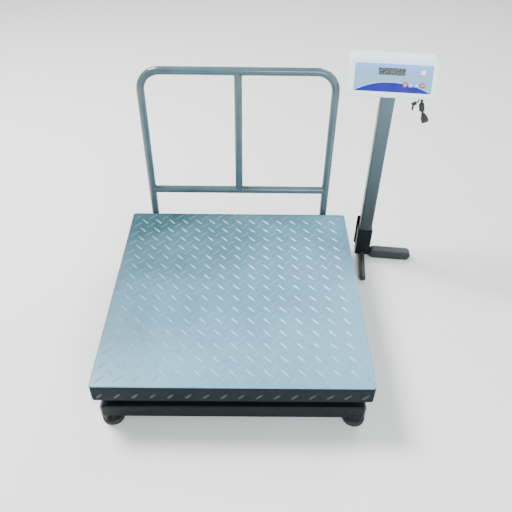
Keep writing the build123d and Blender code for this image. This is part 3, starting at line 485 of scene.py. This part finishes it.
# ---- chequered plate ---------------------------------------------------------------------------
def plate_shell():
    """The folded plate, its outer faces set in by the tread's height, open underneath."""
    size = plate_high - plate_low
    inset = TREAD_HEIGHT
    top = plate_high.z - inset
    rings = []
    inner_x, inner_y = size.x / 2 - PLATE_WALL, size.y / 2 - PLATE_WALL
    rings.append((inner_x, inner_y, PLATE_CORNER - PLATE_WALL, plate_high.z - PLATE_WALL))
    rings.append((inner_x, inner_y, PLATE_CORNER - PLATE_WALL, plate_low.z))
    outer_x, outer_y = size.x / 2 - inset, size.y / 2 - inset
    rings.append((outer_x, outer_y, PLATE_CORNER - inset, plate_low.z))
    for k in range(FOLD_STEPS + 1):
        angle = math.pi / 2 * k / FOLD_STEPS
        draw = PLATE_FOLD * (1 - math.cos(angle))
        rings.append((outer_x - draw, outer_y - draw, PLATE_CORNER - inset - draw,
                      top - PLATE_FOLD + PLATE_FOLD * math.sin(angle)))
    vertices, faces = [], []
    for half_x, half_y, corner, z in rings:
        for x, y in rounded_outline(half_x, half_y, corner):
            vertices.append((middle.x + x, middle.y + y, z))
    count = len(vertices) // len(rings)
    for r in range(len(rings) - 1):
        for k in range(count):
            a, b = r * count + k, r * count + (k + 1) % count
            faces.append((a, b, b + count, a + count))
    faces.append(tuple(range(count)))
    faces.append(tuple(range((len(rings) - 1) * count, len(rings) * count)))
    return vertices, faces


def add_lug(vertices, faces, place, along, side, out, length):
    """One raised lens of the tread: crowned across, tapering to its two ends."""
    first = len(vertices)
    for i in range(LUG_STATIONS + 1):
        u = -1 + 2 * i / LUG_STATIONS
        u = math.copysign(abs(u) ** LUG_END_CROWDING, u)
        half = TREAD_WIDTH / 2 * (1 - abs(u) ** LUG_OUTLINE_POWER) ** LUG_OUTLINE_FULLNESS
        rise = TREAD_HEIGHT * (1 - abs(u) ** LUG_RISE_POWER)
        for j in range(LUG_STRIPS + 1):
            v = -1 + 2 * j / LUG_STRIPS
            height = rise * (1 - abs(v) ** LUG_FLANK_POWER) - LUG_SINK
            vertices.append(place + along * (u * length / 2) + side * (v * half) + out * height)
    for i in range(LUG_STATIONS):
        for j in range(LUG_STRIPS):
            a = first + i * (LUG_STRIPS + 1) + j
            faces.append((a, a + 1, a + LUG_STRIPS + 2, a + LUG_STRIPS + 1))


def tread_lugs(vertices, faces):
    size = plate_high - plate_low
    top = plate_high.z - TREAD_HEIGHT
    reach_x = size.x / 2 - TREAD_HEIGHT - PLATE_FOLD
    reach_y = size.y / 2 - TREAD_HEIGHT - PLATE_FOLD
    out = Vector((0, 0, 1))
    count = int(size.x / TREAD_PITCH / 2) + 2
    for half, lean in ((0.0, -1), (0.5, 1)):
        along = Vector((math.cos(TREAD_ANGLE), lean * math.sin(TREAD_ANGLE), 0))
        side = out.cross(along)
        for i in range(-count, count + 1):
            for j in range(-count, count + 1):
                x, y = (i + half) * TREAD_PITCH, (j + half) * TREAD_PITCH
                room_x = (reach_x - abs(x)) / abs(along.x)
                room_y = (reach_y - abs(y)) / abs(along.y)
                half_length = min(TREAD_LENGTH / 2, room_x, room_y)
                if half_length < TREAD_LENGTH * SHORTEST_LUG:
                    continue
                place = Vector((middle.x + x, middle.y + y, top))
                add_lug(vertices, faces, place, along, side, out, half_length * 2)
    low = plate_low.z + SKIRT_LUG_ABOVE_EDGE
    for out, run, reach in ((Vector((0, -1, 0)), Vector((1, 0, 0)), size.x / 2),
                            (Vector((0, 1, 0)), Vector((-1, 0, 0)), size.x / 2),
                            (Vector((1, 0, 0)), Vector((0, 1, 0)), size.y / 2),
                            (Vector((-1, 0, 0)), Vector((0, -1, 0)), size.y / 2)):
        along = run * math.cos(TREAD_ANGLE) + Vector((0, 0, math.sin(TREAD_ANGLE)))
        side = out.cross(along)
        depth = (size.y if abs(out.y) > 0.5 else size.x) / 2 - TREAD_HEIGHT
        for i in range(-count, count + 1):
            shift = (i + 0.5) * TREAD_PITCH
            if abs(shift) > reach - SKIRT_LUG_TO_CORNER:
                continue
            place = Vector((middle.x, middle.y, low)) + out * depth + run * shift
            add_lug(vertices, faces, place, along, side, out, SKIRT_LUG_LENGTH)


plate_vertices, plate_faces = plate_shell()
shell_faces = len(plate_faces)
tread_lugs(plate_vertices, plate_faces)
plate = piece("platter_tread", plate_vertices, plate_faces, "platter",
              materials["tread_plate"], 40)
SHADED_SKIRT, SHADED_SKIRT_LUGS, TOP_LUGS = 1, 2, 3
for paint in (skirt_painted_shade, skirt_lug_painted_shade, lug_painted_highlight):
    plate.data.materials.append(paint)
for polygon in plate.data.polygons:
    # Sideways faces of the shell take the near-black skirt paint, a painted shade.
    if polygon.index < shell_faces and abs(polygon.normal.z) < SIDEWAYS:
        polygon.material_index = SHADED_SKIRT
    if polygon.index >= shell_faces:
        # Lugs on the top take the paler enamel, a painted highlight.
        on_top = polygon.center.z > plate_high.z - 2 * TREAD_HEIGHT
        polygon.material_index = TOP_LUGS if on_top else SHADED_SKIRT_LUGS
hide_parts("platter_plate")


# ---- weld beads on the guard rail --------------------------------------------------------------
def weld_bead(name, centre, branch, main):
    """A rippled bead where one tube's end meets the side of another tube of the same size."""
    across = branch.cross(main)
    points, radii = [], []
    for k in range(WELD_STEPS):
        angle = 2 * math.pi * k / WELD_STEPS
        sine, cosine = math.sin(angle), math.cos(angle)
        points.append(centre + branch * (RAIL_RADIUS * math.sqrt(sine * sine + WELD_SADDLE))
                      + across * (RAIL_RADIUS * cosine * WELD_OUT) + main * (RAIL_RADIUS * sine))
        radii.append(WELD_RADIUS * (1 + 0.16 * math.sin(k * 2.6) + 0.10 * math.sin(k * 1.1 + 1)))
    vertices, faces = swept_tube(points, radii, WELD_SIDES)
    return piece(name, vertices, faces, "base", materials["rail_enamel"], 80)


hoop_low, hoop_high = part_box("rail_hoop")
bar_low, bar_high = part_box("rail_crossbar")
rail_plane = (hoop_low.y + hoop_high.y) / 2
bar_z = (bar_low.z + bar_high.z) / 2
X_AXIS, Z_AXIS = Vector((1, 0, 0)), Vector((0, 0, 1))
weld_bead("weld_bar_left", Vector((hoop_low.x + RAIL_RADIUS, rail_plane, bar_z)), X_AXIS, Z_AXIS)
weld_bead("weld_bar_right", Vector((hoop_high.x - RAIL_RADIUS, rail_plane, bar_z)), -X_AXIS, Z_AXIS)
weld_bead("weld_post_low", Vector((platter_x, rail_plane, bar_z)), Z_AXIS, X_AXIS)
weld_bead("weld_post_high", Vector((platter_x, rail_plane, hoop_high.z - RAIL_RADIUS)), -Z_AXIS, X_AXIS)


# ---- printed panel -----------------------------------------------------------------------------
def on_face(x, z, lift):
    return head_frame @ Vector((x, FACE_Y - lift, z))


def print_shape(name, outline, mat, body="indicator", lift=0.0):
    """A thin flat print on the indicator's face, from its outline's X and Z."""
    vertices = [on_face(x, z, lift) for x, z in outline]
    vertices += [on_face(x, z, lift + PRINT_THICKNESS) for x, z in outline]
    count = len(outline)
    faces = [tuple(range(count)), tuple(range(count, 2 * count))]
    for k in range(count):
        faces.append((k, (k + 1) % count, count + (k + 1) % count, count + k))
    return piece(name, vertices, faces, body, mat, 30)


def arc_height(x):
    """The top of the blue sweep along the panel's foot."""
    off = x - SWEEP_MIDDLE
    reach = PANEL_HALF_WIDTH + (SWEEP_MIDDLE if off < 0 else -SWEEP_MIDDLE)
    return SWEEP_HEIGHT * (1 - abs(off / reach) ** SWEEP_POWER)


def ring_outline(x, z, radius, steps=RING_SIDES):
    return [(x + radius * math.cos(2 * math.pi * k / steps), z + radius * math.sin(2 * math.pi * k / steps))
            for k in range(steps)]


panel_foot = PANEL_CENTRE - PANEL_HALF_HEIGHT


def key_cut(x, high):
    """Where a printed band has to stop under the keys, at X, if it reaches them."""
    for key in KEY_X:
        off = abs(x - key)
        if key in (KEY_X[0], KEY_X[3]):
            reach = math.sqrt(max(0.0, ROUND_KEY_GAP ** 2 - off ** 2))
        else:
            reach = SQUARE_KEY_GAP if off < SQUARE_KEY_GAP else 0.0
        if reach:
            high = min(high, KEY_Z - reach)
    return high


def strip(name, low_of, high_of, mat):
    """A printed band between two curves, left open round the keys."""
    runs = [[]]
    for k in range(STRIP_STEPS + 1):
        x = PANEL_HALF_WIDTH * (2 * k / STRIP_STEPS - 1)
        low, high = low_of(x), key_cut(x, high_of(x))
        if high - low > PRINT_THICKNESS:
            runs[-1].append((x, low, high))
        elif runs[-1]:
            runs.append([])
    vertices, faces = [], []
    for run in runs:
        if len(run) < 2:
            continue
        first = len(vertices)
        for x, low, high in run:
            vertices += [on_face(x, low, 0), on_face(x, high, 0),
                         on_face(x, high, PRINT_THICKNESS), on_face(x, low, PRINT_THICKNESS)]
        for a in range(first, len(vertices) - 4, 4):
            faces += [(a + p, a + (p + 1) % 4, a + 4 + (p + 1) % 4, a + 4 + p) for p in range(4)]
        last = len(vertices) - 4
        faces += [tuple(range(first, first + 4)), tuple(range(last, last + 4))]
    return piece(name, vertices, faces, "indicator", mat, 30)


strip("print_sweep", lambda x: panel_foot, lambda x: panel_foot + arc_height(x), print_blue)
strip("print_sweep_edge", lambda x: panel_foot + arc_height(x),
      lambda x: panel_foot + arc_height(x) + SWEEP_EDGE, print_sky)
print_shape("print_white_square", WHITE_SQUARE, print_white)
for name, x, z, radius in PRINTED_DOTS:
    print_shape(name, ring_outline(x, z, radius, DOT_SIDES), print_dark)
key_names = ("key_round_left", "key_square_left", "key_square_right", "key_round_right")
for name, x in zip(key_names, KEY_X):
    if "round" in name:
        print_shape(name + "_centre", ring_outline(x, KEY_Z, ROUND_KEY_CENTRE), print_pink, name,
                    KEY_PROUD)
    else:
        half = SQUARE_KEY_CENTRE
        print_shape(name + "_centre", [(x - half, KEY_Z - half), (x + half, KEY_Z - half),
                                       (x + half, KEY_Z + half), (x - half, KEY_Z + half)],
                    print_sky, name, KEY_PROUD)


# ---- long lead ---------------------------------------------------------------------------------
def make_long_lead():
    data = bpy.data.curves.new("lead_long_visual", "CURVE")
    data.dimensions = "3D"
    data.bevel_depth = LEAD_DIAMETER / 2
    data.bevel_resolution = 6
    data.resolution_u = 24
    data.use_fill_caps = True
    spline = data.splines.new("NURBS")
    exit_point = Vector(LEAD_EXIT)
    route = [stand_frame @ (exit_point + Vector(p)) for p in LEAD_ROUTE]
    spline.points.add(len(route) - 1)
    for point, place in zip(spline.points, route):
        point.co = (*place, 1)
    spline.order_u = 3
    spline.use_endpoint_u = True
    data.materials.append(materials["lead_black"])
    lead = bpy.data.objects.new("lead_long_visual", data)
    bpy.context.scene.collection.objects.link(lead)
    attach(lead, "indicator")
    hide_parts("lead_long")


make_long_lead()


# ---- floor, world and lights -------------------------------------------------------------------
FLOOR_REACH = 14
FLOOR_GAP = 0.0006
WORLD_STRENGTH = 0.62


def make_floor():
    mesh = bpy.data.meshes.new("studio_floor")
    corners = [(FLOOR_REACH * x, FLOOR_REACH * y, 0) for x, y in ((-1, -1), (1, -1), (1, 1), (-1, 1))]
    mesh.from_pydata(corners, [], [(0, 1, 2, 3)])
    mat, tree, shader = new_material("studio_floor")
    tone = spread(tree, noise(tree, 0.6, 2.0), 0.0, 1.0)
    tree.links.new(blend(tree, tone, (0.905, 0.90, 0.898), (0.93, 0.928, 0.926)),
                   shader.inputs["Base Color"])
    shader.inputs["Roughness"].default_value = 0.9
    shader.inputs["Specular IOR Level"].default_value = 0.1
    mesh.materials.append(mat)
    floor = bpy.data.objects.new("studio_floor", mesh)
    bpy.context.scene.collection.objects.link(floor)
    floor.location.z = -FLOOR_GAP


def make_light(name, place, target, size, power, colour):
    data = bpy.data.lights.new(name, "AREA")
    data.shape = "RECTANGLE"
    data.size, data.size_y = size
    data.energy = power
    data.color = colour
    light = bpy.data.objects.new(name, data)
    bpy.context.scene.collection.objects.link(light)
    place, target = Vector(place), Vector(target)
    light.location = place
    light.rotation_mode = "QUATERNION"
    light.rotation_quaternion = (target - place).to_track_quat("-Z", "Y")


def make_world():
    world = bpy.data.worlds.new("studio")
    world.use_nodes = True
    tree = world.node_tree
    way = node(tree, "ShaderNodeTexCoord").outputs["Generated"]
    height = node(tree, "ShaderNodeSeparateXYZ", {0: way}).outputs["Z"]
    lifted = remap(tree, height, 0.15, 0.95, 0.0, 1.0)
    shade = blend(tree, lifted, (0.62, 0.65, 0.66), (0.96, 0.985, 1.0))
    tree.links.new(shade, tree.nodes["Background"].inputs["Color"])
    tree.nodes["Background"].inputs["Strength"].default_value = WORLD_STRENGTH
    bpy.context.scene.world = world


make_floor()
make_world()
# Each light's name, place, target, size, power and colour.
LIGHTS = (("key_left", (-1.6, 0.65, 2.7), (-0.1, 0.0, 0.1), (1.0, 1.0), 190, (1.0, 0.995, 0.985)),
          ("back_right", (1.5, 2.1, 2.5), (0.0, 0.0, 0.15), (1.2, 1.2), 45, (0.95, 0.98, 1.0)),
          ("front_fill", (0.9, -2.6, 1.9), (0.2, 0.2, 0.4), (2.0, 1.4), 100, (0.95, 0.985, 1.0)))
for light in LIGHTS:
    make_light(*light)
